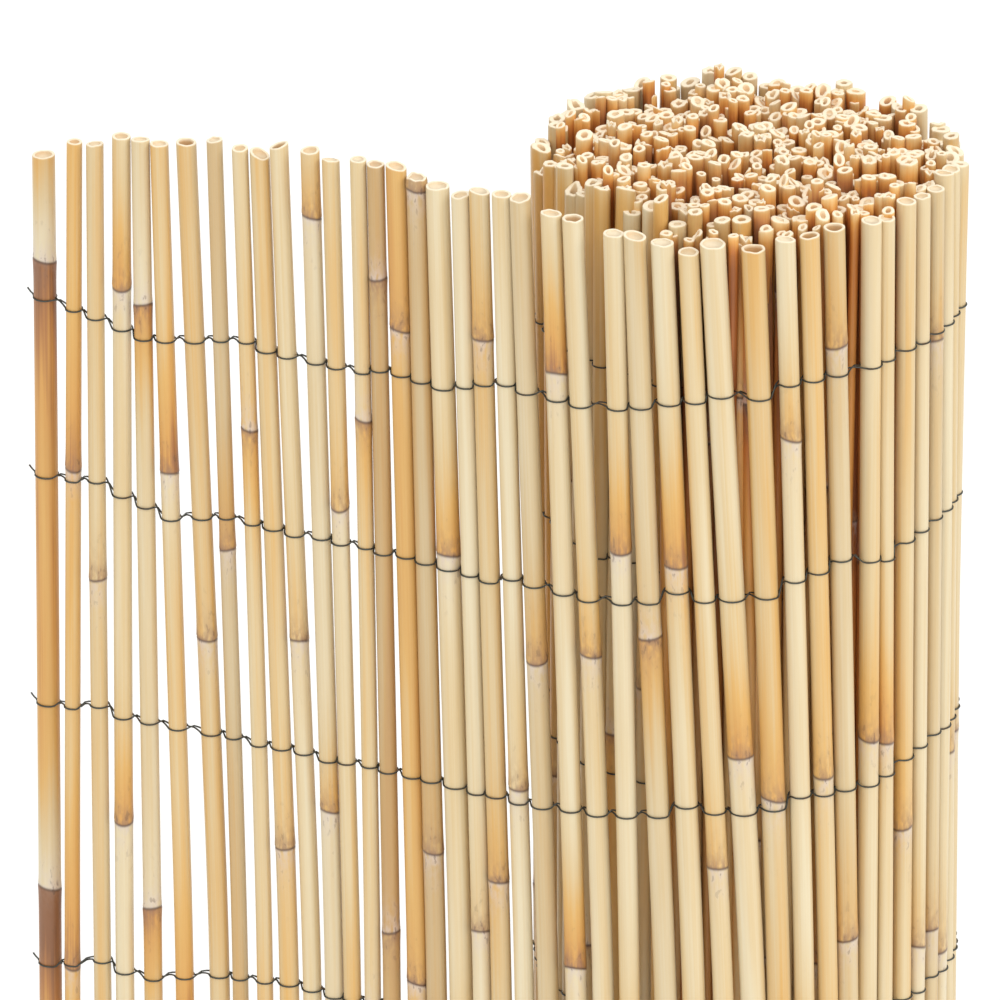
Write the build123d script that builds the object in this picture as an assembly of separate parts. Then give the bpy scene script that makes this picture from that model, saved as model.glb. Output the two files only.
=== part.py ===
from build123d import *
import math
import os
import random
from collections import namedtuple

# Driving dimensions, in millimetres. The mat stands on end: Z is up, the free end points to -X and
# the face that is looked at points to -Y.
MAT_HEIGHT = 750.0  # the longest reed
ROLL_RADIUS = 86.0  # outer face of the first half turn
TURN_PITCH = 14.5  # how much closer to the core each full turn lies
CORE_RADIUS = 12.0  # the mat is wound until a further half turn would be tighter than this
KNEE_DROP = 353.0  # above this depth the reeds lean, below it they stand straight
REED_SIDES = 10
REED_WALL = 1.1
BORE_DEPTH = 30.0
BORE_SIDES = 6
NODE_SWELL = 0.25  # the stem widens by this much from the knee to the collar of its node
NODE_NECK = 0.4  # and is this much thinner again just past the collar
NODE_LEDGE = 1.2
WIRE_SIZE = 1.1
WIRE_SLACK = 0.1  # clear space between a wire and the thickest reed it binds
WIRE_SAG = 0.7  # how far a straight run of wire may cut inside its curve
WIRE_END = 0.5  # clear space where the wire turns back round the end reed
WIRE_DROPS = (79.0, 158.0, 249.0, 354.0, 453.0, 555.0, 657.0)  # from the top edge
ROLLED_REED = 7.2  # diameter of the reeds wound into the roll, next to the last loose one
CORE_REED = 6.2  # and at the core
ROLLED_GROOVE = 0.5  # half width of the neck between two pressed reeds, as a share of the radius
ROLLED_WANDER = 2.6  # how far a rolled reed strays across its turn
ROLLED_TRIM = 12.0  # the rolled reeds end this far down, counted at the axis of the roll
ROLLED_TILT = 0.085  # and this much further for each millimetre towards the back
ROLLED_RAGGED = 5.0  # each one ends up to this much above or below that
ROLLED_CLEAR = 0.7  # between the last loose reed and the first rolled one
SEED = 11

# The leaf leaves the front of the roll as a chain of tangent arcs: radius and turn in degrees,
# counted from the roll to the free end. A positive turn bends the same way as the roll.
LEAF_ARCS = ((170.0, 28.0), (826.0, -12.0), (75.0, 24.0))
LAST_REED_TURN = 77.6  # degrees from the tangent point round the roll to the last loose reed

# The loose reeds from the free end to the right side of the roll. gap_top and gap_knee are the
# spaces to the next reed, trim and node are depths below the top edge of the mat.
Reed = namedtuple("Reed", "diameter gap_top gap_knee trim node")
REEDS = [
    Reed(8.3, 9.5, 4.5, 20.5, 63), Reed(6.1, 2.0, 7.0, 10.5, 147), Reed(7.1, 3.5, 2.5, 10, 192),
    Reed(7.3, 0.5, 4.5, 5.5, 67), Reed(6.9, 0.5, 5.5, 5.5, 73), Reed(7.3, 3.0, 6.5, 6.5, 143),
    Reed(8.0, 4.5, 1.5, 4.5, 211), Reed(6.4, 3.5, 4.0, 1.5, 172), Reed(6.5, 0.5, 2.5, 3.5, 119),
    Reed(7.9, 1.0, 1.5, 5, 295), Reed(7.3, 5.0, 2.0, 0, 206), Reed(7.4, 0.5, 1.0, 0, 26),
    Reed(7.1, 5.0, 1.5, 2.5, 146), Reed(6.4, 0.5, 0.5, 0, 107), Reed(7.3, 0.5, 4.0, 1, 47),
    Reed(7.7, 0.5, 0.5, 0.5, 67), Reed(7.7, 0.5, 1.5, 3.5, 285), Reed(8.8, 2.0, 1.5, 5.5, 158),
    Reed(7.1, 0.5, 0.5, 7, 315), Reed(7.9, 1.8, 2.5, 4, 64), Reed(7.3, 0.2, 2.0, 3, 250),
    Reed(8.4, 4.5, 4.5, 3, 194), Reed(8.0, 1.0, 3.0, 7, 72), Reed(8.4, 8.5, 2.5, 7.5, 188),
    Reed(8.0, 0.5, 6.5, 11, 142), Reed(8.3, 2.0, 3.0, 11, 177), Reed(8.6, 1.5, 3.5, 13, 146),
    Reed(8.3, 0.5, 3.0, 16, 273), Reed(9.8, 6.5, 0.5, 12.5, 226), Reed(9.2, 4.5, 1.5, 14.5, 245),
    Reed(8.0, 2.0, 2.5, 11, 93), Reed(8.0, 3.0, 0.5, 10.5, 237), Reed(8.3, 9.5, 0.5, 9, 57),
    Reed(7.8, 0.5, 1.0, 10, 226), Reed(6.9, 4.5, 3.5, 11, 230), Reed(8.0, 2.0, 2.5, 8, 270),
    Reed(6.5, 5.0, 4.0, 9, 325), Reed(6.9, 2.5, 3.0, 10.5, 72), Reed(7.7, 2.5, 3.0, 8, 335),
    Reed(7.3, 0.0, 0.0, 10.5, 255),
]

# Dependent values.
knee_z = MAT_HEIGHT - KNEE_DROP
leaf_arcs = [(r * math.radians(abs(turn)), math.copysign(1 / r, turn)) for r, turn in LEAF_ARCS]
half_turns = 1 + int((ROLL_RADIUS - CORE_RADIUS) / (TURN_PITCH / 2))
roll_radii = [ROLL_RADIUS - k * TURN_PITCH / 2 for k in range(half_turns)]
roll_arcs = [(math.pi * r, 1 / r) for r in roll_radii]
roll_end = sum(length for length, _ in roll_arcs)
last_reed_at = ROLL_RADIUS * math.radians(LAST_REED_TURN)
corner_ratio = 1 / math.cos(math.pi / REED_SIDES)  # of a reed's corner radius to its flat radius


def mat_at(s):
    """Point and heading of the mat's outer face at distance s beyond the tangent point."""
    x, y, heading = 0.0, -ROLL_RADIUS, 0.0
    way, left = math.copysign(1.0, s), abs(s)
    arcs = roll_arcs if s > 0 else leaf_arcs
    for i, (length, curve) in enumerate(arcs):
        run = left if i == len(arcs) - 1 else min(left, length)
        turned = heading + way * curve * run
        x += (math.sin(turned) - math.sin(heading)) / curve
        y += (math.cos(heading) - math.cos(turned)) / curve
        heading, left = turned, left - run
        if left <= 0:
            break
    return x, y, heading


def inside(s, depth):
    """The point that lies depth behind the outer face at distance s."""
    x, y, heading = mat_at(s)
    return x - depth * math.sin(heading), y + depth * math.cos(heading)


def reed_lines():
    """Where each loose reed crosses the mat at its top and at the knee, from the free end on."""
    top = knee = last_reed_at
    lines = [(top, knee)]
    for this, after in zip(REEDS[-2::-1], REEDS[:0:-1]):
        half = (this.diameter + after.diameter) / 2
        top, knee = top - half - this.gap_top, knee - half - this.gap_knee
        lines.append((top, knee))
    return lines[::-1]


def loose_reed(reed, top_s, knee_s):
    """One hollow stem, lofted from the foot over the knee and the node's collar to the cut top."""
    radius = reed.diameter / 2
    top_z, node_z = MAT_HEIGHT - reed.trim, MAT_HEIGHT - reed.node
    turn = math.degrees(mat_at((top_s + knee_s) / 2)[2])

    def ring(z, flat_radius, sides):
        lean = max(0.0, (z - knee_z) / KNEE_DROP)
        x, y = inside(knee_s + (top_s - knee_s) * lean, radius * corner_ratio)
        shape = RegularPolygon(flat_radius, sides, major_radius=False, rotation=180 / sides)
        return Pos(x, y, z) * Rot(0, 0, turn) * shape

    rings = (
        (0.0, radius - NODE_SWELL),
        (knee_z, radius - NODE_SWELL),
        (node_z - NODE_LEDGE, radius),
        (node_z, radius - NODE_NECK),
        (top_z, radius - NODE_SWELL),
    )
    stem = loft([ring(z, r, REED_SIDES) for z, r in rings], ruled=True)
    bore = radius - NODE_NECK - REED_WALL
    hollow = loft([ring(z, bore, BORE_SIDES) for z in (top_z - BORE_DEPTH, top_z)], ruled=True)
    return stem - hollow


def rolled_turns(start):
    """The reeds wound behind the last loose one, pressed together into one ridged wall."""
    pick = random.Random(SEED)
    rolled, s, size = [], start, 0.0
    while True:
        share = (s - start) / (roll_end - start)
        wanted = (ROLLED_REED + (CORE_REED - ROLLED_REED) * share) * pick.uniform(0.9, 1.1)
        s, size = s + (size + wanted) / 2, wanted
        if s + size / 2 > roll_end:
            break
        stray = pick.uniform(0, ROLLED_WANDER) if rolled else 0.0
        centre = Vector(*inside(s, size / 2 + stray))
        heading = mat_at(s)[2]
        trim = ROLLED_TRIM + ROLLED_TILT * centre.Y + pick.uniform(-ROLLED_RAGGED, ROLLED_RAGGED)
        rolled.append((centre, heading, size / 2, MAT_HEIGHT - trim))

    def neck(middle, heading, radius):
        out = Vector(math.sin(heading), -math.cos(heading)) * radius * ROLLED_GROOVE
        return middle + out, middle - out

    along = [Vector(math.cos(h), math.sin(h)) * r for _, h, r, _ in (rolled[0], rolled[-1])]
    necks = [neck(rolled[0][0] - along[0], *rolled[0][1:3])]
    for (a, turn_a, r_a, _), (b, turn_b, r_b, _) in zip(rolled, rolled[1:]):
        necks.append(neck((a + b) / 2, (turn_a + turn_b) / 2, min(r_a, r_b)))
    necks.append(neck(rolled[-1][0] + along[1], *rolled[-1][1:3]))

    prisms = []
    for (centre, heading, radius, top_z), before, after in zip(rolled, necks, necks[1:]):
        out = Vector(math.sin(heading), -math.cos(heading)) * radius
        ridge = Polyline(before[0], centre + out, after[0], after[1], centre - out, before[1], close=True)
        prisms.append(extrude(make_face(ridge), amount=top_z, dir=(0, 0, 1)))
    return prisms[0].fuse(*prisms[1:]), rolled[0][0]


def wire_stops(arcs, way):
    """Corners of a wire along some arcs: place, and clearance before and behind the reeds there."""
    stops, at, before, behind = [], 0.0, 0.0, 0.0
    for length, curve in arcs:
        pieces = math.ceil(length / math.sqrt(8 * WIRE_SAG / abs(curve)))
        step = length / pieces
        sag = step**2 * curve / 8  # a straight run lies this much nearer to the middle of its bend
        last_before, before = before, WIRE_SLACK + max(0.0, sag)
        last_behind, behind = behind, WIRE_SLACK + max(0.0, -sag)
        stops.append((at, max(last_before, before), max(last_behind, behind)))
        stops += [(at + way * step * i, before, behind) for i in range(1, pieces)]
        at += way * length
    return stops, (at, before, behind)


def binding_wire(lines):
    """One bent wire: along the back of the leaf, round the end reed, along the front, round the roll."""
    end = min(lines[0]) - REEDS[0].diameter / 2 - WIRE_END
    tip = -end - sum(length for length, _ in leaf_arcs[:-1])
    leaf, corner = wire_stops(leaf_arcs[:-1] + [(tip, leaf_arcs[-1][1])], -1)
    roll, _ = wire_stops(roll_arcs[:2], 1)
    thickest = max(reed.diameter for reed in REEDS) * corner_ratio
    # Each corner of the path: place, depth behind the outer face, thickness across and along.
    path = [(s, thickest + behind, WIRE_SIZE, 0.0) for s, _, behind in leaf]
    path.append((end, thickest + corner[2], WIRE_SIZE, -WIRE_SIZE))
    path.append((end, -corner[1], -WIRE_SIZE, -WIRE_SIZE))
    path += [(s, -before, -WIRE_SIZE, 0.0) for s, before, _ in leaf[:0:-1] + roll]
    near_side = [inside(s, depth) for s, depth, _, _ in path]
    far_side = [inside(s + along, depth + across) for s, depth, across, along in path]
    band = make_face(Polyline(*near_side, *far_side[::-1], close=True))
    return extrude(band, amount=WIRE_SIZE, dir=(0, 0, 1))


lines = reed_lines()
nodes = {
    f"reed_{i:02d}": loose_reed(reed, *line)
    for i, (reed, line) in enumerate(zip(REEDS, lines), 1)
}
roll_start = last_reed_at + REEDS[-1].diameter / 2 + ROLLED_CLEAR
nodes["rolled_turns"], foot = rolled_turns(roll_start)
wire = binding_wire(lines)
for i, drop in enumerate(WIRE_DROPS, 1):
    nodes[f"binding_wire_{i}"] = Pos(0, 0, MAT_HEIGHT - drop - WIRE_SIZE / 2) * wire

# The shared frame stands on the floor under the middle of the whole screen.
boxes = [shape.bounding_box() for shape in nodes.values()]
left, right = min(b.min.X for b in boxes), max(b.max.X for b in boxes)
front, back = min(b.min.Y for b in boxes), max(b.max.Y for b in boxes)
to_frame = Pos(-(left + right) / 2, -(front + back) / 2, 0)
os.makedirs("parts", exist_ok=True)
for name, shape in nodes.items():
    export_step(to_frame * shape, f"parts/{name}.step")
print("mat length", roll_end - min(lines[0]), "size", right - left, back - front)
print("roll axis at", to_frame.position)
print("standing face at", foot + to_frame.position)
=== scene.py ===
# %% [markdown]
# # A reed screen, half unrolled and standing on end
# The screen is a mat of peeled reeds held side by side by rows of twisted wire. The packed model gives
# every reed its place, lean, thickness and cut height. This lesson turns those plain solids into straw:
# round hollow stems with nodes, frayed ends, a satin skin, and wires that weave between the stems.

# %% Load the packed model
from collections import namedtuple

import bpy
import numpy as np
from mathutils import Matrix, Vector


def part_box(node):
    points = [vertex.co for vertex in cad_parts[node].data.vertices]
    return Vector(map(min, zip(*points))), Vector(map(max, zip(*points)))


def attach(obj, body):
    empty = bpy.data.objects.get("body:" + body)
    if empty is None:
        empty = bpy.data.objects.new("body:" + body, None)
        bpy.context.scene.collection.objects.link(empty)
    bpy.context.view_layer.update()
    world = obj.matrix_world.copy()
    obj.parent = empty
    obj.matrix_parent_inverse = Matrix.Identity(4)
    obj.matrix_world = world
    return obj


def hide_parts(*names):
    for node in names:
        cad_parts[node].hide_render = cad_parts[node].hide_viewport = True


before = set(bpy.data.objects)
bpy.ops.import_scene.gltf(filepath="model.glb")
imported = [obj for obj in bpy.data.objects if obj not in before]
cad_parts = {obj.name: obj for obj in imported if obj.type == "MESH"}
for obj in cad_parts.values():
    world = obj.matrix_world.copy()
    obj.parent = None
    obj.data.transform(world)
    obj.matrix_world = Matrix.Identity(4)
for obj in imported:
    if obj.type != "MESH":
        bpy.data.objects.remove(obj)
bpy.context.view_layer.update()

MM = 0.001

# %% [markdown]
# ## Shader maths as plain expressions
# A finish is a web of nodes, and a web is hard to read. This small class wraps one socket, so that
# `1 - mask` or `a * b + c` adds the Math nodes by itself. Any other node comes from its `node` method.


# %% A socket that can be calculated with
class Shade:
    """One output socket of a material. Arithmetic on it adds Math nodes to the same material."""

    def __init__(self, tree, socket=None):
        self.tree = tree
        self.socket = socket

    def node(self, kind, settings, inputs, output=0):
        """Adds a node: first its settings, then the values or links of its sockets."""
        made = self.tree.nodes.new(kind)
        for key, value in settings.items():
            if key == "stops":
                ramp = made.color_ramp
                while len(ramp.elements) < len(value):
                    ramp.elements.new(1.0)
                for element, (place, tint) in zip(ramp.elements, value):
                    element.position = place
                    element.color = tint
            else:
                setattr(made, key, value)
        for key, value in inputs.items():
            if isinstance(value, Shade):
                self.tree.links.new(value.socket, made.inputs[key])
            else:
                made.inputs[key].default_value = value
        return Shade(self.tree, made.outputs[output])

    def math(self, operation, *values):
        return self.node("ShaderNodeMath", {"operation": operation}, dict(enumerate(values)))

    def __add__(self, other):
        return self.math("ADD", self, other)

    __radd__ = __add__

    def __mul__(self, other):
        return self.math("MULTIPLY", self, other)

    __rmul__ = __mul__

    def __sub__(self, other):
        return self.math("SUBTRACT", self, other)

    def __rsub__(self, other):
        return self.math("SUBTRACT", other, self)

    def fade(self):
        """e to the power of minus this value."""
        return self.math("EXPONENT", self * -1.0)

    def above(self, low, high):
        """A soft step from 0 at low to 1 at high."""
        edges = {"Value": self, "From Min": low, "From Max": high}
        return self.node("ShaderNodeMapRange", {"interpolation_type": "SMOOTHSTEP"}, edges)

    def mix(self, base, over):
        """The colour base, with the colour over laid on it where this value is 1."""
        return self.node("ShaderNodeMix", {"data_type": "RGBA"}, {0: self, 6: base, 7: over}, output=2)

    def attribute(self, name, output=2):
        """A number that the points of a mesh carry, or a vector with output 1."""
        return self.node("ShaderNodeAttribute", {"attribute_name": name}, {}, output=output)

    def place(self):
        """Object coordinates: where a point lies in the piece's own space."""
        return self.node("ShaderNodeTexCoord", {}, {}, output=3)

    def noise(self, where, stretch, detail=2.0):
        """Cloudy noise of 0 to 1 about 0.5, with stretch wrinkles a metre along each axis of where."""
        spread = self.node("ShaderNodeVectorMath", {"operation": "MULTIPLY"}, {0: where, 1: stretch})
        return self.node("ShaderNodeTexNoise", {}, {"Vector": spread, "Scale": 1.0, "Detail": detail})


print("a shade's methods", [name for name in vars(Shade) if not name.startswith("_")])


# %% Colours and empty finishes
def colour(red, green, blue):
    """A colour given as it looks on a screen, 0 to 255, in the linear form that shaders use."""
    seen = np.array((red, green, blue)) / 255.0
    linear = np.where(seen > 0.04045, ((seen + 0.055) / 1.055) ** 2.4, seen / 12.92)
    return (*(float(v) for v in linear), 1.0)


def finish(name, **constants):
    """An empty material with its surface shader; the constants are set on that shader's sockets."""
    material = bpy.data.materials.new(name)
    material.use_nodes = True
    surface = material.node_tree.nodes["Principled BSDF"]
    for socket, value in constants.items():
        surface.inputs[socket.replace("_", " ").title().replace("Ior", "IOR")].default_value = value
    return material, surface, Shade(material.node_tree)


def feed(surface, socket, shade):
    """Links a shade to one of the surface shader's sockets."""
    shade.tree.links.new(shade.socket, surface.inputs[socket])


print("golden straw in linear light", [round(v, 3) for v in colour(228, 178, 96)])

# %% [markdown]
# ## Straw
# A peeled reed is satin and never one colour. It is cream to straw along the stem, golden where the
# leaf sheath kept the sun off, brown and chalky at a node, and it has fine fibres along its length.
# Image textures would repeat from reed to reed, so each stem carries numbers on its points instead:
# warm (cream to brown, and on rolled reeds also painted light and shade), node (millimetres to its nearest
# node), sheath (1 on that node's sheath side), grey, cut and bore, and grain, a straightened copy of its
# shape that the noise is read from.

# %% Colours of straw
STRAW = (
    (0.00, colour(220, 206, 173)), (0.28, colour(213, 188, 142)), (0.52, colour(214, 169, 98)),
    (0.74, colour(208, 154, 82)), (0.88, colour(172, 116, 66)), (1.00, colour(134, 88, 56)),
)
# the straw inside the roll, made more orange and darker at its warm end as painted shade between the turns
SHADED_ROLLED_STRAW = (
    (0.00, colour(238, 212, 164)), (0.28, colour(232, 190, 126)), (0.52, colour(222, 160, 84)),
    (0.78, colour(190, 116, 54)), (1.00, colour(126, 70, 36)),
)
WEATHERED = colour(150, 130, 106)
INSIDE = colour(220, 172, 116)
FRESH_CUT = colour(251, 238, 212)
print("stops from cream to brown", len(STRAW), "and", len(SHADED_ROLLED_STRAW))

# %% [markdown]
# At a node the skin is marked: scorched on the sheath side, chalky on the other, with dark specks on
# both, and a thin dark ring. Each mark fades away from the node, and shows only where a mottled noise
# is high enough.

# %% Marks at a node
# strength is the most that a mark covers, fade is per millimetre, low and high are steps of the mottle.
Mark = namedtuple("Mark", "tint strength fade low high")
SCORCH = Mark(colour(146, 110, 86), strength=0.85, fade=0.17, low=0.30, high=0.58)
CHALK = Mark(colour(206, 192, 186), strength=0.70, fade=0.14, low=0.30, high=0.62)
SPECKS = Mark(colour(96, 72, 58), strength=0.60, fade=0.10, low=0.60, high=0.68)
RING_TINT = colour(92, 68, 54)
RING_STRENGTH = 0.85
RING_SHARPNESS = 0.9  # per square millimetre, and so much more where the mottle is high
RING_UNEVEN = 3.4


def marked(skin, mark, far, mottle, side):
    """The skin with one mark: its share is side * e^(-fade * far) where the mottle is high."""
    share = side * (far * mark.fade).fade() * mottle.above(mark.low, mark.high)
    return (mark.strength * share).mix(skin, mark.tint)


def ringed(skin, far, mottle):
    """The skin with the node's dark ring: a bell curve of the distance, uneven in width."""
    ring = (far * far * (RING_SHARPNESS + RING_UNEVEN * mottle)).fade()
    return (RING_STRENGTH * ring).mix(skin, RING_TINT)


print("marks fade to about a third in mm", [round(1 / mark.fade, 1) for mark in (SCORCH, CHALK, SPECKS)])

# %% The straw finish
FIBRES = (1500.0, 1500.0, 9.0)  # wrinkles a metre across the stem, twice, and along it
CLOUDS = (190.0, 190.0, 7.0)
MOTTLE = (520.0, 520.0, 210.0)
CLOUD_WARMTH = 0.75  # how far the clouds and the fibres shift the straw between cream and brown
FIBRE_WARMTH = 0.28
KNOT_FADE = 0.12  # the rough skin round a node fades so much a millimetre
KNOT_RELIEF = 2.0  # against the relief of the fibres
FIBRE_DEPTH = 0.25 * MM
BUMP_STRENGTH = 0.35
REED_SHEEN, ROLLED_SHEEN = 0.15, 0.10


def straw(name, stops, sheen):
    """Straw: a ramp over warm plus slow clouds and fine fibres, then the marks at the node and the cut."""
    material, surface, shade = finish(name, specular_ior_level=0.42, coat_roughness=0.32)
    grain = shade.attribute("grain", output=1)
    # warm also carries the painted light and shade on the tips and necks of the rolled reeds
    warm, far, sheath = (shade.attribute(key) for key in ("warm", "node", "sheath"))
    grey, cut, bore = (shade.attribute(key) for key in ("grey", "cut", "bore"))
    fibres = shade.noise(grain, FIBRES, 3.0)
    clouds = shade.noise(grain, CLOUDS, 2.0)
    mottle = shade.noise(grain, MOTTLE, 4.0)

    warmth = warm + CLOUD_WARMTH * (clouds - 0.5) + FIBRE_WARMTH * (fibres - 0.5)
    skin = shade.node("ShaderNodeValToRGB", {"stops": stops}, {"Fac": warmth})
    skin = (grey * (0.4 + 0.6 * clouds)).mix(skin, WEATHERED)
    skin = marked(skin, SCORCH, far, mottle, sheath)
    skin = marked(skin, CHALK, far, mottle, 1 - sheath)
    skin = marked(skin, SPECKS, far, mottle, 1.0)
    skin = ringed(skin, far, mottle)
    skin = bore.mix(skin, INSIDE)
    skin = (cut * (0.75 + 0.35 * mottle)).mix(skin, FRESH_CUT)
    feed(surface, "Base Color", skin)

    # Fibres, cuts, bores and weathered skin are duller than smooth skin, and only skin has a sheen.
    feed(surface, "Roughness", 0.36 + 0.20 * fibres + 0.30 * cut + 0.20 * bore + 0.15 * grey)
    feed(surface, "Coat Weight", sheen * (1 - cut) * (1 - bore))
    relief = fibres + (far * KNOT_FADE).fade() * mottle * KNOT_RELIEF
    bump = {"Strength": BUMP_STRENGTH, "Distance": FIBRE_DEPTH, "Height": relief}
    feed(surface, "Normal", shade.node("ShaderNodeBump", {}, bump))
    return material


reed_straw = straw("peeled_straw", STRAW, REED_SHEEN)
shaded_rolled_straw = straw("shaded_rolled_straw", SHADED_ROLLED_STRAW, ROLLED_SHEEN)
print("straw finishes", [(m.name, len(m.node_tree.nodes)) for m in (reed_straw, shaded_rolled_straw)])

# %% [markdown]
# ## Binding wire
# The wire is plain drawn steel that has gone dull, with darker patches where it has started to rust.
# Metal takes its colour from what it mirrors, so the patches are less metallic and rougher.

# %% The wire finish
RUST_CLOUDS = (260.0, 260.0, 260.0)
STEEL = colour(80, 81, 76)
RUST = colour(80, 62, 48)


def dull_steel(name):
    """Dark steel: a cloud of noise in the piece's own coordinates mixes in rust and dulls the shine."""
    material, surface, shade = finish(name)
    cloud = shade.noise(shade.place(), RUST_CLOUDS, 4.0)
    rust = cloud.above(0.56, 0.70)
    feed(surface, "Base Color", rust.mix(STEEL, RUST))
    feed(surface, "Roughness", 0.34 + 0.25 * cloud + 0.2 * rust)
    feed(surface, "Metallic", 0.8 - 0.5 * rust)
    return material


wire_steel = dull_steel("dull_steel")
print("wire finish", wire_steel.name)

# %% [markdown]
# ## One cut reed
# A reed could be a cylinder with modifiers, but its shape is really a radius that changes with height:
# straight, a lip at every node, a rounded shoulder at the cut, over the rim and down the bore. So it is
# worked out as one grid of points, height by angle, and the whole grid is computed at once.

# %% What a stem is
# side is 1 where the sheath was above the node, else -1.
Node = namedtuple("Node", "height side")
# line gives the middle at a height; above and below are how warm it is beside a node; hollow is how far
# the bore is open; the last field is how much painted shade warms and darkens its neck below a tip painted
# pale.
Stem = namedtuple("Stem", "line radius top nodes warm above below grey hollow deepen")

NODE_STEPS = np.array([-16, -9, -5, -2.5, -1.2, -0.6, -0.3, 0, 0.3, 0.6, 1.2, 2.5, 5, 9, 16]) * MM
TIP_STEPS = np.array([2.0, 4.5, 8.0, 14.0, 25.0, 45.0]) * MM  # below the cut
SHOULDER = 1.2 * MM
# The last rings go over the rim and down the bore. For each: its depth, how far it lies in through the
# wall, how much of it is cut face and how much is bore, and how far it follows the cut's waves.
RIM_DROP = np.array([0.6, 0.2, 0.04, 0.0, 0.0, 0.15, 2.0, 7.0, 16.0, 28.0]) * MM
RIM_INSET = np.array([0.0, 0.03, 0.10, 0.25, 0.75, 0.95, 1.0, 1.0, 1.0, 1.0])
RIM_CUT = np.array([0.0, 0.35, 1.0, 1.0, 1.0, 0.7, 0.1, 0.0, 0.0, 0.0])
RIM_BORE = np.array([0.0, 0.0, 0.0, 0.0, 0.0, 0.3, 0.9, 1.0, 1.0, 1.0])
RIM_TIPPED = np.array([1.0, 1.0, 1.0, 1.0, 1.0, 1.0, 0.9, 0.5, 0.1, 0.0])


def stem_levels(stem, steps):
    """Heights of the rings up the skin: even steps, and closer ones round each node and below the cut."""
    even = np.linspace(0, stem.top - SHOULDER, steps)
    knots = [node.height + NODE_STEPS for node in stem.nodes]
    levels = np.concatenate([even, *knots, stem.top - TIP_STEPS])
    return np.unique(np.round(np.clip(levels, 0, stem.top - SHOULDER), 5))


print("rings at a node", len(NODE_STEPS), "below a cut", len(TIP_STEPS), "over a rim", len(RIM_DROP))

# %% Lips at the nodes and waves round the cut
LIP = 0.34 * MM  # how far a node's lip stands out
LIP_REACHES = (4.0 * MM, 1.3 * MM)  # it dies away over this length on the sheath side and the other
CREASE = 0.22 * MM
CREASE_WIDTH = 0.4 * MM
TIP_WAVES = 6
FINE_WAVE = 0.45  # size of one of the finer waves, as a share of the roughness


def nearest_node(heights, nodes):
    """Distance to the nearest node, positive on its sheath side, and the same, positive above the node."""
    away = heights[:, None] - np.array([n.height for n in nodes])[None, :]
    pick = np.abs(away).argmin(axis=1)
    near = away[np.arange(len(heights)), pick]
    return near * np.array([n.side for n in nodes])[pick], near


def node_lip(along):
    """How far the skin stands out: lip * e^(-|along| / reach) - crease * e^(-(along / width)^2)."""
    reach = np.where(along > 0, *LIP_REACHES)
    return LIP * np.exp(-np.abs(along) / reach) - CREASE * np.exp(-((along / CREASE_WIDTH) ** 2))


def tip_wave(angle, draw, tilt, rough):
    """Height of the cut round the rim: a tilt and finer waves, sum of size_k * cos(k * angle + phase_k)."""
    orders = np.arange(1, TIP_WAVES + 1)
    usual = np.array([tilt, *np.full(TIP_WAVES - 1, FINE_WAVE * rough)])
    sizes = draw.normal(0, 1, TIP_WAVES) * usual
    phases = draw.uniform(0, 2 * np.pi, TIP_WAVES)
    return (sizes * np.cos(orders * angle[:, None] + phases)).sum(axis=1)


print("a lip in mm, 2 mm to each side of its node", (node_lip(np.array([2.0, -2.0]) * MM) / MM).round(2))

# %% Numbers for the finish
SHEATH_REACH = 40 * MM  # how far the golden part runs from its node
SHEATH_EDGE = 1.6  # and how sharply it ends
# painted light and shade on rolled reeds: the tip is painted pale over the first depth, and the neck warmer
# and darker over the second, for the shade between the turns
TIP_LIGHT_REACH = 4.5 * MM  # a rolled reed is pale over about this depth
NECK_SHADE_REACH = 140 * MM  # and warm below that, over about this depth
TIP_LIGHT = 1.2
NECK_SHADE = 0.95
PITH = 0.7  # how pale the pith is in a filled bore, and how fast that goes as the bore opens
PITH_FALL = 2.5
BORE_LEAST = 0.25  # even a filled bore has so much of the inside's colour


def stem_rows(stem, height, skin_rings):
    """Numbers that are the same all round a ring, each a function of the ring's height alone."""
    along, near = nearest_node(height, stem.nodes)
    sheath = np.exp(-((np.abs(near) / SHEATH_REACH) ** SHEATH_EDGE))
    beside = np.where(near > 0, stem.above, stem.below)
    depth = stem.top - height
    # painted light and shade: a pale tip and a warmer, darker neck, scaled by each reed's share of it
    tip_light_neck_shade = NECK_SHADE * np.exp(-depth / NECK_SHADE_REACH) - TIP_LIGHT * np.exp(-depth / TIP_LIGHT_REACH)
    skin = np.zeros(skin_rings)
    pith = max(0.0, PITH - PITH_FALL * stem.hollow)
    opened = BORE_LEAST + (1 - BORE_LEAST) * stem.hollow
    return {
        "warm": stem.warm + (beside - stem.warm) * sheath + stem.deepen * tip_light_neck_shade,
        "node": np.abs(near) / MM,
        "sheath": (along > 0) * 1.0,
        "grey": np.full(len(height), stem.grey),
        "cut": np.concatenate([skin, RIM_CUT + RIM_BORE * pith]),
        "bore": np.concatenate([skin, RIM_BORE * opened]),
    }


def upright_line(height):
    """The middle of a trial reed that stands on the origin."""
    return np.zeros((len(height), 2))


trial = Stem(upright_line, 4 * MM, 0.75, [Node(0.5, 1)], 0.3, 0.7, 0.2, grey=0.0, hollow=0.05, deepen=0.0)
trial_rows = stem_rows(trial, np.array([0.501, 0.52, 0.6]), 0)
print("how warm a trial reed is 1, 20 and 100 mm above its node", trial_rows["warm"].round(2))

# %% A stem as a grid of points
TIP_REACH = 12 * MM  # the waves of the cut die out over this depth
NODE_SLANT = 0.16  # usual slant of a node, as a share of the radius
SLANT_REACH = 6 * MM  # a slanted node pulls the rings this near to it out of level
OVAL_LEAST = 0.01
DENT_SHARE = 0.4  # a stem's dents against how oval it may be
GRAIN_SHIFT = 9.0  # in metres: every stem reads its noise from another place


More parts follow.
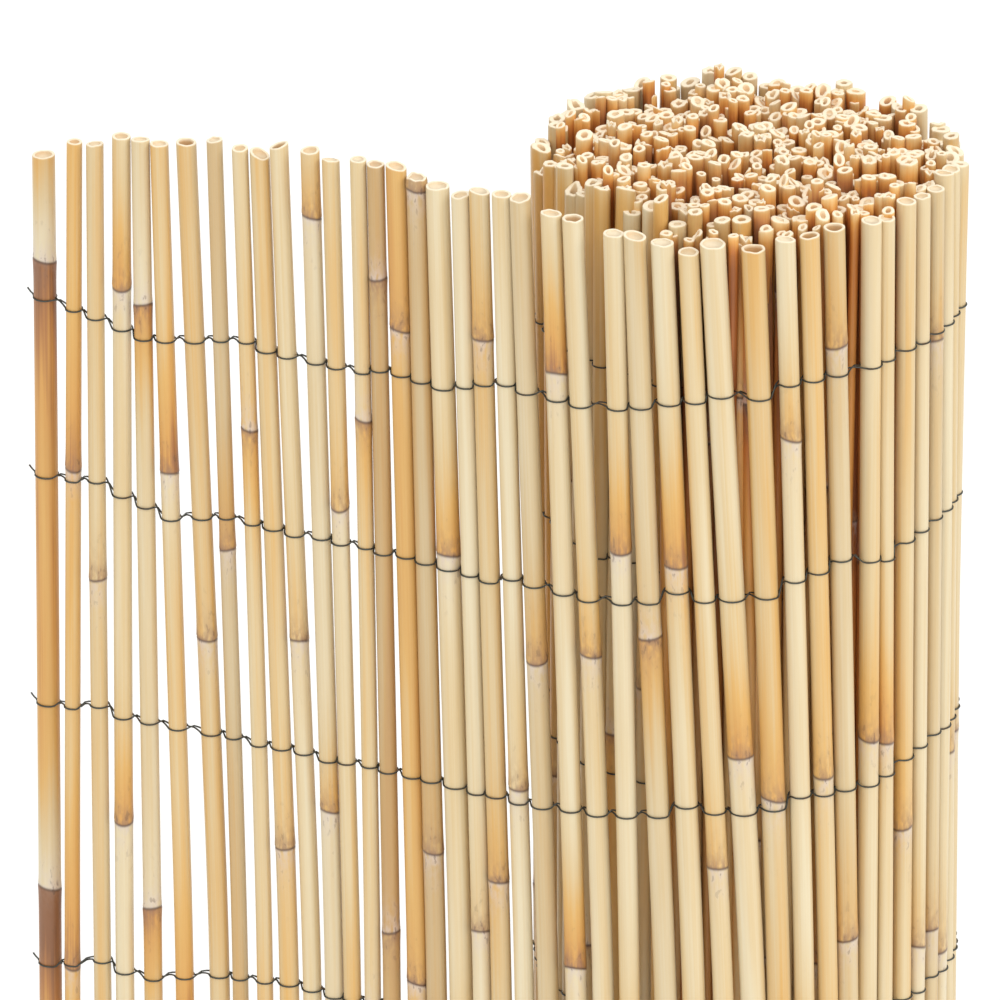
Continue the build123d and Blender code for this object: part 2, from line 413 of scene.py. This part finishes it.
def grow(stem, draw, columns, steps, wall, tilt, rough, crush):
    """One reed: rings up the skin, over the rim and down the bore, as points and as numbers on them.

    ring(h, a) = line(h) + radius(h) * (1 + oval cos 2a + dent cos 3a) * (cos a, sin a), and the rings
    near the cut are lifted by the tip's wave, those near a node by its slant.
    """
    skin = stem_levels(stem, steps)
    drop = RIM_DROP * np.where(RIM_BORE > 0.5, stem.hollow, 1.0)
    height = np.concatenate([skin, stem.top - drop])
    on_skin = np.arange(len(height)) < len(skin)
    along, near = nearest_node(height, stem.nodes)
    radius = np.concatenate([np.full(len(skin), stem.radius), stem.radius - wall * RIM_INSET])
    radius += np.where(on_skin, node_lip(along), 0.0)

    angle = np.linspace(0, 2 * np.pi, columns, endpoint=False)
    circle = np.stack([np.cos(angle), np.sin(angle)])
    phase = draw.uniform(0, 2 * np.pi, 2)
    oval, dent = draw.uniform(OVAL_LEAST, crush), draw.uniform(0, DENT_SHARE * crush)
    section = 1 + oval * np.cos(2 * angle + phase[0]) + dent * np.cos(3 * angle + phase[1])
    near_cut = np.clip((skin - stem.top + TIP_REACH) / TIP_REACH, 0, 1) ** 2
    tipped = np.concatenate([near_cut, RIM_TIPPED])
    middle = stem.line(height)
    out = radius[:, None] * section[None, :]
    points = np.empty((len(height), columns, 3))
    points[..., 0] = middle[:, :1] + out * circle[0]
    points[..., 1] = middle[:, 1:] + out * circle[1]
    points[..., 2] = height[:, None] + tipped[:, None] * tip_wave(angle, draw, tilt, rough)
    slant = draw.normal(0, NODE_SLANT, 2) * stem.radius * np.exp(-((near[:, None] / SLANT_REACH) ** 2))
    points[..., 2] += (slant * on_skin[:, None]) @ circle

    rows = stem_rows(stem, height, len(skin))
    numbers = {key: np.repeat(row, columns) for key, row in rows.items()}
    upright = np.tile(height[:, None], columns)
    grain = np.stack([out * circle[0], out * circle[1], upright], axis=-1)
    numbers["grain"] = grain.reshape(-1, 3) + draw.uniform(-GRAIN_SHIFT, GRAIN_SHIFT, 3)
    ends = np.array([[*middle[0], 0.0], [*middle[-1], height[-1]]])
    return points, ends, numbers


trial_shape = {"columns": 8, "steps": 5, "wall": 1 * MM, "tilt": 0.0, "rough": 0.0, "crush": 0.05}
trial_points, _, _ = grow(trial, np.random.default_rng(1), **trial_shape)
print("rings and points a ring of the trial reed", trial_points.shape[:2])

# %% [markdown]
# A grid becomes a mesh by joining each ring to the next with quads. The lowest ring is closed by a fan
# at the foot and the last one by a fan at the bottom of the bore, so that a stem has no open edge.


# %% Grids into meshes
def skin_faces(rows, columns, first):
    """Quads between neighbouring rings and fans to the two end points, which follow the grid's points."""
    ring = np.arange(columns)
    after = np.roll(ring, -1)
    low = first + np.arange(rows - 1)[:, None] * columns
    quads = np.stack([low + ring, low + after, low + columns + after, low + columns + ring], axis=-1)
    last = first + (rows - 1) * columns
    foot, end = first + rows * columns, first + rows * columns + 1
    foot_fan = np.stack([first + after, first + ring, np.full(columns, foot)], axis=-1)
    end_fan = np.stack([last + ring, last + after, np.full(columns, end)], axis=-1)
    return quads.reshape(-1, 4).tolist() + foot_fan.tolist() + end_fan.tolist()


def piece(name, grown, material, nodes):
    """One mesh of several grids, with their numbers on its points, in the place of its CAD nodes."""
    points, faces, first = [], [], 0
    for grid, ends, _ in grown:
        faces += skin_faces(*grid.shape[:2], first)
        points += [grid.reshape(-1, 3), ends]
        first += grid.shape[0] * grid.shape[1] + 2
    mesh = bpy.data.meshes.new(name)
    mesh.from_pydata(np.concatenate(points).tolist(), [], faces)
    mesh.shade_smooth()
    for key in grown[0][2]:
        ends_too = [np.concatenate([n[key], n[key][[0, -1]]]) for _, _, n in grown]
        values = np.concatenate(ends_too).astype(np.float32)
        kind, field = ("FLOAT", "value") if values.ndim == 1 else ("FLOAT_VECTOR", "vector")
        mesh.attributes.new(key, kind, "POINT").data.foreach_set(field, values.ravel())
    mesh.materials.append(material)
    made = bpy.data.objects.new(name, mesh)
    bpy.context.scene.collection.objects.link(made)
    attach(made, "root")
    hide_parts(*nodes)


print("faces of a grid of 3 rings of 4 points", len(skin_faces(3, 4, 0)))

# %% [markdown]
# ## The loose reeds
# Every loose reed keeps the line of its CAD stem: straight up to the knee, then leaning. Its colours
# are read off: how warm the stem is, how warm above and below its node, how grey, and how far it
# is to the next node down, in millimetres.

# %% The look of each loose reed, from the free end on
Look = namedtuple("Look", "warm above below grey spacing")
LOOKS = (
    (.68, -.1, .98, .1, 267), (.52, .80, .50, .0, 214), (.30, .36, .30, .1, 262), (.16, .68, .04, .0, 227),
    (.18, .14, .85, .1, 257), (.43, .82, .10, .0, 250), (.34, .42, .30, .1, 240), (.30, .72, .30, .4, 245),
    (.22, .40, .62, .0, 262), (.32, .36, .32, .0, 255), (.24, .42, .20, .0, 247), (.12, .55, .10, .1, 250),
    (.24, .50, .18, .0, 238), (.22, .24, .52, .0, 252), (.50, .55, .56, .6, 276), (.54, .66, .44, .1, 276),
    (.42, .50, .40, .5, 250), (.18, .66, .12, .0, 240), (.08, .30, .10, .0, 244), (.26, .55, .40, .1, 228),
    (.12, .34, .16, .0, 251), (.24, .58, .22, .3, 246), (.12, .78, .10, .0, 250), (.14, .48, .20, .0, 238),
    (.12, .74, .06, .0, 242), (.22, .36, .66, .2, 254), (.14, .72, .34, .0, 247), (.26, .52, .30, .0, 240),
    (.16, .70, .12, .0, 250), (.40, .62, .24, .1, 243), (.10, .44, .12, .0, 258), (.38, .52, .30, .0, 246),
    (.28, .50, .28, .2, 252), (.20, .55, .20, .0, 240), (.24, .70, .26, .0, 249), (.36, .56, .36, .0, 244),
    (.10, .40, .14, .0, 252), (.22, .46, .26, .2, 250), (.10, .34, .12, .0, 246), (.18, .44, .22, .0, 250),
)
OPEN_REEDS = (7, 11, 24, 30, 32, 33)  # the others are filled with pith almost to the cut
STUBS = {17: 4.5}  # a reed cut this far above a node, in millimetres, has a ragged end
print("loose reeds", len(LOOKS), "open", len(OPEN_REEDS), "ragged", len(STUBS))

# %% Lines and radii from the CAD stems
KNEE_SOFT = 25 * MM  # the lean sets in over about this height
SWAY = (9.0, 7.0)  # radians a metre of a stem's slight bow, along X and along Y
SAME_LEVEL = 0.02 * MM
LOWEST_NODE = 30 * MM
LOOSE_STOUT = (0.99, 1.03)  # thickness against the CAD stem's
LOOSE_BOW = 0.5  # in millimetres


def points_of(node):
    """A CAD node's points as an array."""
    flat = np.empty(len(node.data.vertices) * 3, np.float32)
    node.data.vertices.foreach_get("co", flat)
    return flat.reshape(-1, 3).astype(float)


def leaning_line(foot, shift, knee, top, bow, phase):
    """Middle of a stem at a height: foot + shift * lean + bow * sin(sway * height + phase).

    The lean is 0 well below the knee, sets in softly there and is about 1 at the top.
    """

    def line(height):
        lean = KNEE_SOFT * np.logaddexp(0, (height - knee) / KNEE_SOFT) / (top - knee)
        sway = np.sin(height[:, None] * SWAY + phase) * bow
        return foot + shift * lean[:, None] + sway

    return line


def read_stem(node, look, hollow, draw):
    """A loose reed from its CAD node: the rings of the solid give its line, its radius and its node."""
    points = points_of(node)
    levels = np.unique(np.round(points[:, 2], 5))
    rings = [points[np.abs(points[:, 2] - z) < SAME_LEVEL, :2] for z in levels]
    middles = np.array([(ring.min(axis=0) + ring.max(axis=0)) / 2 for ring in rings])
    reach = np.array([np.hypot(*(ring - m).T).max() for ring, m in zip(rings, middles)])
    foot, shift, top = middles[0], middles[-1] - middles[0], levels[-1]
    node_z = levels[reach.argmax()]
    side = 1 if look.above >= look.below else -1
    stout = draw.uniform(*LOOSE_STOUT)
    count = int((node_z - LOWEST_NODE) // (look.spacing * MM)) + 1
    nodes = [Node(node_z - i * look.spacing * MM, side) for i in range(count)]
    bow = draw.uniform(-LOOSE_BOW, LOOSE_BOW, 2) * MM
    line = leaning_line(foot, shift, levels[1], top, bow, draw.uniform(0, 6, 2))
    tones = look.warm, look.above, look.below, look.grey
    return Stem(line, reach[0] * stout, top, nodes, *tones, hollow, deepen=0.0)


print("points of the first CAD stem", len(points_of(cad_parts["reed_01"])))

# %% Grow the loose reeds
LOOSE_GRID = {"columns": 26, "steps": 44}
LOOSE_CUT = {"wall": 1.1 * MM, "tilt": 0.4 * MM, "crush": 0.05}
CLEAN_END, RAGGED_END = 0.12 * MM, 0.5 * MM
OPEN_BORE, FILLED_BORE = (0.4, 0.7), (0.01, 0.07)

draw = np.random.default_rng(7)
loose = []
for i, row in enumerate(LOOKS, 1):
    hollow = draw.uniform(*(OPEN_BORE if i in OPEN_REEDS else FILLED_BORE))
    stem = read_stem(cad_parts[f"reed_{i:02d}"], Look(*row), hollow, draw)
    if i in STUBS:
        stem.nodes.append(Node(stem.top - STUBS[i] * MM, 1))
    rough = RAGGED_END if i in STUBS else CLEAN_END
    grown = grow(stem, draw, rough=rough, **LOOSE_GRID, **LOOSE_CUT)
    piece(f"stem_{i:02d}", [grown], reed_straw, [f"reed_{i:02d}"])
    loose.append(stem)
print("loose reeds", len(loose), "radii in mm", [round(s.radius / MM, 2) for s in loose[:6]])

# %% [markdown]
# ## The rolled reeds
# Behind the last loose reed the mat is wound up tight. The CAD solid is one ridged wall whose ridges
# end at different heights, so the flat faces on top tell where each reed stands. They are put in order
# by walking from the last loose reed to the nearest one that is left, again and again.

# %% Find the rolled reeds on top of the ridged wall
RIDGE_SHAPE = 3.0  # a ridge's top face is about this many times its radius squared
FACES_UP = 0.99  # least upward part of a top face's direction


def ridge_tops(node):
    """Middle, radius and height of each ridge: its top triangles share one exact height."""
    points = points_of(node)
    corner = np.empty(len(node.data.loops), np.int32)
    node.data.loops.foreach_get("vertex_index", corner)
    tris = points[corner.reshape(-1, 3)]
    normal = np.cross(tris[:, 1] - tris[:, 0], tris[:, 2] - tris[:, 0])
    area = np.linalg.norm(normal, axis=1) / 2
    up = normal[:, 2] > 2 * FACES_UP * area
    height, which = np.unique(tris[up][:, :, 2].max(axis=1), return_inverse=True)
    weight = np.bincount(which, area[up])
    middle = [np.bincount(which, area[up] * tris[up].mean(axis=1)[:, k]) / weight for k in (0, 1)]
    return np.stack(middle, axis=1), np.sqrt(weight / RIDGE_SHAPE), height


def in_winding_order(middles, start):
    """Indices of the points along the winding: from start, always on to the nearest point left."""
    left, order, here = set(range(len(middles))), [], start
    while left:
        rest = np.array(sorted(left))
        step = rest[np.hypot(*(middles[rest] - here).T).argmin()]
        order.append(int(step))
        left.remove(int(step))
        here = middles[step]
    return order


middles, radii, heights = ridge_tops(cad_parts["rolled_turns"])
order = in_winding_order(middles, loose[-1].line(np.array([0.0]))[0])
middles, radii, heights = middles[order], radii[order], heights[order]
wound = len(middles)
longest = np.hypot(*np.diff(middles, axis=0).T).max()
print("rolled reeds", wound, "longest step in mm", round(longest / MM, 1))

# %% The axis of the roll
# The first quarter of the rolled reeds goes round the outside, so its box has the axis in the middle.
outer_reeds = middles[: wound // 4]
roll_axis = (outer_reeds.min(axis=0) + outer_reeds.max(axis=0)) / 2
turned = np.unwrap(np.arctan2(*(middles - roll_axis).T[::-1]))
turns = (turned - turned[0]) / (2 * np.pi)
print("axis in mm", (roll_axis / MM).round(1), "reeds in the first turn", int((turns < 1).sum()))

# %% [markdown]
# The wound mat is fuller than that: thinner reeds lie in the space between two turns, pushed out of
# line. They stand in a zigzag, by turns close to the outer reeds and to the inner ones, and one that
# would be squeezed too much is left out.

# %% Thin reeds between the turns
THIN_STEP = 4.2 * MM
TURN_SPACE = 7.3 * MM  # free space between the reeds of two turns
THIN_RADII = (1.9, 2.8)  # in millimetres, as are the next two
THIN_STRAY = 0.6
THIN_RAGGED = 2.2
ZIGZAG = (0.85, 0.05)  # shares of the space that is left, by turns
ZIGZAG_STRAY = 0.1
SQUEEZE = 0.80  # two reeds may stand this near, as a share of their radii added up
FRONT_REED = 27  # from this loose reed on the mat lies round the roll
CORE_REEDS = 14  # no thin reeds inside the last ones


def between_turns(middles, radii, heights, axis, draw):
    """Thin reeds: a step along the winding, then inwards past the outer reed, in a zigzag."""
    walked = np.concatenate([[0.0], np.cumsum(np.hypot(*np.diff(middles, axis=0).T))])
    at = np.arange(0, walked[-1], THIN_STEP)
    at = at + draw.uniform(-THIN_STRAY, THIN_STRAY, len(at)) * MM
    outer = np.stack([np.interp(at, walked, column) for column in middles.T], axis=1)
    inward = axis - outer
    inward /= np.linalg.norm(inward, axis=1, keepdims=True)
    thin = draw.uniform(*THIN_RADII, len(at)) * MM
    share = np.where(np.arange(len(at)) % 2, *ZIGZAG) + draw.uniform(0, ZIGZAG_STRAY, len(at))
    depth = np.interp(at, walked, radii) + thin + share * (TURN_SPACE - 2 * thin)
    tops = np.interp(at, walked, heights) + draw.normal(0, THIN_RAGGED, len(at)) * MM
    return outer + inward * depth[:, None], thin, tops


front = loose[FRONT_REED - 1 :]
around = np.concatenate([*(stem.line(np.array([stem.top])) for stem in front), middles])
around_radii = np.concatenate([[stem.radius for stem in front], radii])
around_tops = np.concatenate([[stem.top for stem in front], heights])
path = (column[:-CORE_REEDS] for column in (around, around_radii, around_tops))
thin_middles, thin_radii, thin_tops = between_turns(*path, roll_axis, draw)
near = np.linalg.norm(thin_middles[:, None] - around, axis=2) / (thin_radii[:, None] + around_radii)
fits = near.min(axis=1) > SQUEEZE
middles = np.concatenate([middles, thin_middles[fits]])
radii = np.concatenate([radii, thin_radii[fits]])
heights = np.concatenate([heights, thin_tops[fits]])
print("thin reeds", int(fits.sum()), "squeezed out", int((~fits).sum()))

# %% [markdown]
# A rolled reed is much like a loose one, only plainer: its node heights and tones are drawn at random.
# The outer turn has daylight on its side and keeps the pale straw, with a little painted shade below its
# tips.
# Further in the reeds get a tip painted pale over a neck painted warm and dark, as painted shade
# between the turns.

# %% What a rolled reed is
ROLLED_LEAN = 1.6 * MM
ROLLED_KNEE = 0.6  # heights in metres, as is the next line
ROLLED_NODES = ((0.08, 0.42), (0.34, 0.72))  # least and most, for the lower and the upper node
ROLLED_BOW = 0.6  # in millimetres
ROLLED_STOUT = (0.90, 1.06)
ROLLED_WARM = (0.10, 0.48)
ROLLED_TONES = (-0.1, 0.4)  # how much warmer a rolled reed is beside a node
ROLLED_GREYS = (0, 0, 0.3)
ROLLED_BORE = (0.01, 0.22)


def rolled_stem(middle, radius, top, deepen, draw):
    """A rolled reed: upright in its ridge, a little askew, with two nodes anywhere."""
    shift = draw.normal(0, 1, 2) * ROLLED_LEAN
    bow = draw.uniform(-ROLLED_BOW, ROLLED_BOW, 2) * MM
    line = leaning_line(middle, shift, ROLLED_KNEE, top, bow, draw.uniform(0, 6, 2))
    nodes = [Node(z, draw.choice((-1, 1))) for z in draw.uniform(*ROLLED_NODES)]
    warm = draw.uniform(*ROLLED_WARM)
    above, below = np.clip(warm + draw.uniform(*ROLLED_TONES, 2), 0, 1)
    grey, hollow = draw.choice(ROLLED_GREYS), draw.uniform(*ROLLED_BORE)
    stout = draw.uniform(*ROLLED_STOUT)
    return Stem(line, radius * stout, top, nodes, warm, above, below, grey, hollow, deepen)


OUTER_TURN = 73 * MM  # a wound reed further out than this belongs to the outer turn
# painted shade: how much of the pale tip and the warm, dark neck a reed gets, in the outer turn and further
# in
OUTER_LIGHT_AND_SHADE, INNER_LIGHT_AND_SHADE = 0.15, 0.64
reach = np.hypot(*(middles - roll_axis).T)
outside = (reach > OUTER_TURN) & (np.arange(len(reach)) < wound)
deepen = np.where(outside, OUTER_LIGHT_AND_SHADE, INNER_LIGHT_AND_SHADE)
rolled = [rolled_stem(*row, draw) for row in zip(middles, radii, heights, deepen)]
print("rolled reeds in all", len(rolled), "in the outer turn", int(outside.sum()))

# %% Grow them, ring by ring
RING_SHARES = (0.25, 0.5, 0.75)  # the reeds inside the outer turn are shared out to four pieces
WOUND_COLUMNS, THIN_COLUMNS = 14, 12
ROLLED_STEPS = 5
ROLLED_WALL = 0.6  # as a share of the radius
ROLLED_CUT = {"tilt": 0.7 * MM, "crush": 0.15}
SPLIT_SHARE = 0.25  # so many of them have a split, fibrous end
SPLIT_END, PLAIN_END = 0.5, 0.10  # roughness in millimetres


def grow_rolled(stem, columns, hidden, draw):
    """A reed inside the roll gets only its upper node, since little of it is seen."""
    rough = (SPLIT_END if draw.random() < SPLIT_SHARE else PLAIN_END) * MM
    wall = ROLLED_WALL * stem.radius
    if hidden:
        stem = stem._replace(nodes=stem.nodes[1:])
    return grow(stem, draw, columns, ROLLED_STEPS, wall, rough=rough, **ROLLED_CUT)


ring_of = np.digitize(reach, np.quantile(reach[~outside], RING_SHARES)) + 1
outer_ring = len(RING_SHARES) + 2
ring_of[outside] = outer_ring
columns_of = np.where(np.arange(len(rolled)) < wound, WOUND_COLUMNS, THIN_COLUMNS)
for ring in range(1, outer_ring + 1):
    which = np.flatnonzero(ring_of == ring)
    grown = [grow_rolled(rolled[i], columns_of[i], not outside[i], draw) for i in which]
    # the reeds inside the outer turn get the straw with painted shade
    material = reed_straw if ring == outer_ring else shaded_rolled_straw
    piece(f"rolled_stems_{ring}", grown, material, ["rolled_turns"])
    print("ring", ring, "reeds", len(grown))

# %% [markdown]
# ## The twisted wires
# Two strands hold each row. One passes before a reed while the other passes behind it, and between two
# reeds they cross and change sides. So the strand's line is a run of small arcs, each round one reed, on
# alternate sides. A smooth curve through those points is then swept with a round section.

# %% The line of a strand
WIRE = 0.7 * MM
SWEEP = np.radians([-70, -36, 0, 36, 70])  # guide points round a reed
CROSSING_LIFT = 1.0 * MM
CROSSING_SPREAD = 0.52  # the strands cross so many wire widths above and below that
TAIL_LENGTHS = np.array([3.2, 1.6]) * MM  # of the two guide points past the end reed
TAIL_LIFT = 2.2 * MM
TAIL_SHARES = np.array([1.0, 0.4])  # how much of the lift each of those points has


def strand(middle, radius, height, first_side):
    """Guide points of one strand: arcs round the reeds on alternate sides, crossing between them."""
    ahead = np.gradient(middle, axis=0)
    ahead /= np.linalg.norm(ahead, axis=1, keepdims=True)
    out = np.stack([ahead[:, 1], -ahead[:, 0]], axis=1)
    side = first_side * (-1.0) ** np.arange(len(middle))
    reach = (radius + WIRE / 2)[:, None, None]
    forward = np.sin(SWEEP)[None, :, None] * ahead[:, None]
    sideways = np.cos(SWEEP)[None, :, None] * (side[:, None] * out)[:, None]
    arcs = np.empty((len(middle), len(SWEEP) + 1, 3))
    arcs[:, :-1, :2] = middle[:, None] + reach * (forward + sideways)
    arcs[:, :-1, 2] = height[:, None]
    edge = ahead * radius[:, None]
    arcs[:-1, -1, :2] = (middle + edge)[:-1] / 2 + (middle - edge)[1:] / 2
    apart = side[:-1] * WIRE * CROSSING_SPREAD
    arcs[:-1, -1, 2] = (height[:-1] + height[1:]) / 2 + CROSSING_LIFT + apart
    return arcs.reshape(-1, 3)[:-1]


def tail(start, ahead, side):
    """The end of a strand past the first reed: start - length * ahead, and up or down by the lift."""
    points = np.tile(start, (len(TAIL_LENGTHS), 1))
    points[:, :2] -= TAIL_LENGTHS[:, None] * ahead
    points[:, 2] += side * TAIL_LIFT * TAIL_SHARES
    return points


print("guide points for each reed", len(SWEEP) + 1)

# %% A smooth round wire
BETWEEN = 2  # points of the smooth curve for each step between two guide points
WIRE_SIDES = 6
UP = (0.0, 0.0, 1.0)


def smooth(guide, count):
    """A Catmull-Rom curve: each step blends two guide points and the two beside them by cubic weights."""
    padded = np.concatenate([guide[:1], guide, guide[-1:]])
    a, b, c, d = (padded[i : len(padded) - 3 + i, None] for i in range(4))
    t = (np.arange(count) / count)[None, :, None]
    square = (2 * a - 5 * b + 4 * c - d) * t**2
    cube = (3 * b - a - 3 * c + d) * t**3
    curve = 0.5 * (2 * b + (c - a) * t + square + cube)
    return np.concatenate([curve.reshape(-1, 3), guide[-1:]])


def sweep_wire(path):
    """A round wire: circles across the path, in the plane of its level normal and the upright to it."""
    ahead = np.gradient(path, axis=0)
    ahead /= np.linalg.norm(ahead, axis=1, keepdims=True)
    level = np.cross(ahead, UP)
    level /= np.maximum(np.linalg.norm(level, axis=1, keepdims=True), 1e-6)
    upright = np.cross(level, ahead)
    angle = np.linspace(0, 2 * np.pi, WIRE_SIDES, endpoint=False)[None, :, None]
    circle = np.cos(angle) * upright[:, None] + np.sin(angle) * level[:, None]
    return path[:, None] + WIRE / 2 * circle, path[[0, -1]], {}


print("sides of a wire", WIRE_SIDES, "width in mm", WIRE / MM)

# %% [markdown]
# A row is never quite level: it climbs and dips from reed to reed by up to a centimetre. The four upper
# rows are read off, and the lower ones run on in the same way. The rows end where the outer turn
# of the roll does.

# %% Wire rows
# How far above its own level a row passes some of the reeds, in millimetres, by the reed's number.
ROW_LEVELS = (
    {1: -1, 3: -3, 5: -9, 6: -10, 9: -5, 10: -7, 12: -9, 14: -9, 15: -7, 17: -8, 18: -10, 19: -7,
     21: -3, 23: -5, 24: -6, 28: 1, 29: 4, 30: 3, 31: 8, 34: 9, 36: 10, 39: 9, 60: 0},
    {1: 3, 3: 6, 4: 1, 6: -5, 8: -2, 18: -6, 20: -8, 21: -5, 24: -8, 26: -5, 27: 0, 28: -3, 30: -1,
     31: 4, 33: 9, 35: 4, 36: 8, 38: 10, 39: 9, 60: 0},
    {1: -3, 3: 1, 4: -2, 12: -6, 21: -8, 24: -7, 26: -4, 27: 0, 28: -2, 30: -1, 31: 4, 34: 2, 36: 7,
     38: 10, 39: 8, 60: 0},
    {1: -10, 3: -4, 5: -8, 7: -2, 10: -1, 12: -3, 30: 3, 36: 9, 38: 10, 60: 0},
    {1: -6, 9: 2, 20: -4, 31: 5, 60: 0},
    {1: 4, 12: -5, 26: 3, 38: -4, 60: 2},
    {1: -3, 8: 3, 22: -2, 34: 4, 60: -3},
)
LEVEL_STRAY = 0.4  # in millimetres
BOUND_TURN = 0.78  # of the first rolled turn, counted from the last loose reed

bound = loose + [stem for stem, t in zip(rolled, turns) if t < BOUND_TURN]
reed_numbers = np.arange(1, len(bound) + 1)
bound_radii = np.array([stem.radius for stem in bound])
for row, levels in enumerate(ROW_LEVELS, 1):
    low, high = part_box(f"binding_wire_{row}")
    level = np.interp(reed_numbers, list(levels), list(levels.values()))
    height = (low.z + high.z) / 2 + (level + draw.normal(0, LEVEL_STRAY, len(bound))) * MM
    middle = np.concatenate([stem.line(np.array([h])) for stem, h in zip(bound, height)])
    ahead = (middle[1] - middle[0]) / np.linalg.norm(middle[1] - middle[0])
    strands = []
    for side in (1, -1):
        guide = strand(middle, bound_radii, height, side)
        guide = np.concatenate([tail(guide[0], ahead, side), guide])
        strands.append(sweep_wire(smooth(guide, BETWEEN)))
    piece(f"wire_row_{row}", strands, wire_steel, [f"binding_wire_{row}"])
print("bound reeds", len(bound), "rows", len(ROW_LEVELS))

# %% [markdown]
# ## Floor, light and camera
# The floor is plain and nearly white. A white sky gives the even studio light, and two wide suns, one
# from the front and one from the right, give each reed its soft shaded side. The camera stands far off
# with a long lens, so that the upright reeds stay almost parallel.

# %% Floor
FLOOR_HALF = 40.0
FLOOR_CLOUDS = (1.5, 1.5, 1.5)
corners = [(x * FLOOR_HALF, y * FLOOR_HALF, 0.0) for x, y in ((-1, -1), (1, -1), (1, 1), (-1, 1))]
floor_mesh = bpy.data.meshes.new("floor")
floor_mesh.from_pydata(corners, [], [(0, 1, 2, 3)])
floor_paint, floor_surface, floor_shade = finish("floor_paint", roughness=0.9)
cloud = floor_shade.noise(floor_shade.place(), FLOOR_CLOUDS)
feed(floor_surface, "Base Color", cloud.mix(colour(250, 250, 249), colour(253, 253, 252)))
floor_mesh.materials.append(floor_paint)
floor = bpy.data.objects.new("floor", floor_mesh)
bpy.context.scene.collection.objects.link(floor)
print("floor in metres", 2 * FLOOR_HALF)

# %% Light
Lamp = namedtuple("Lamp", "power width tilt turn")  # angles in degrees
LAMPS = {"window": Lamp(0.82, 30, 46, -8), "side_window": Lamp(0.80, 44, 60, 70)}
SKY = 0.87
SKY_TINT = (1.0, 0.995, 0.985, 1.0)

sky = bpy.data.worlds.new("white_studio")
sky.use_nodes = True
sky.node_tree.nodes["Background"].inputs["Color"].default_value = SKY_TINT
sky.node_tree.nodes["Background"].inputs["Strength"].default_value = SKY
bpy.context.scene.world = sky
for name, lamp in LAMPS.items():
    sun = bpy.data.lights.new(name, "SUN")
    sun.energy = lamp.power
    sun.angle = np.radians(lamp.width)
    holder = bpy.data.objects.new(name, sun)
    holder.rotation_euler = (np.radians(lamp.tilt), 0, np.radians(lamp.turn))
    bpy.context.scene.collection.objects.link(holder)
bpy.context.scene.view_settings.view_transform = "Standard"
print("lamps", len(LAMPS), "sky", SKY)

# %% Camera
LOOK_DOWN = np.radians(25.5)
AIM = np.array([2.2, 0.0, 591.7]) * MM
FRAME_WIDTH = 383.1 * MM
DISTANCE = 9.0
camera = bpy.data.cameras.new("long_lens")
camera.sensor_width = 36.0
camera.lens = camera.sensor_width * DISTANCE / FRAME_WIDTH
camera.clip_end = 100.0
viewer = bpy.data.objects.new("long_lens", camera)
viewer.location = AIM + DISTANCE * np.array([0.0, -np.cos(LOOK_DOWN), np.sin(LOOK_DOWN)])
viewer.rotation_euler = (np.pi / 2 - LOOK_DOWN, 0.0, 0.0)
bpy.context.scene.collection.objects.link(viewer)
bpy.context.scene.camera = viewer
print("lens in mm", round(camera.lens, 1))

# %% [markdown]
# ## Sizes
# The dressed screen keeps to the box of the CAD solids, apart from a millimetre or so at the cut tips.
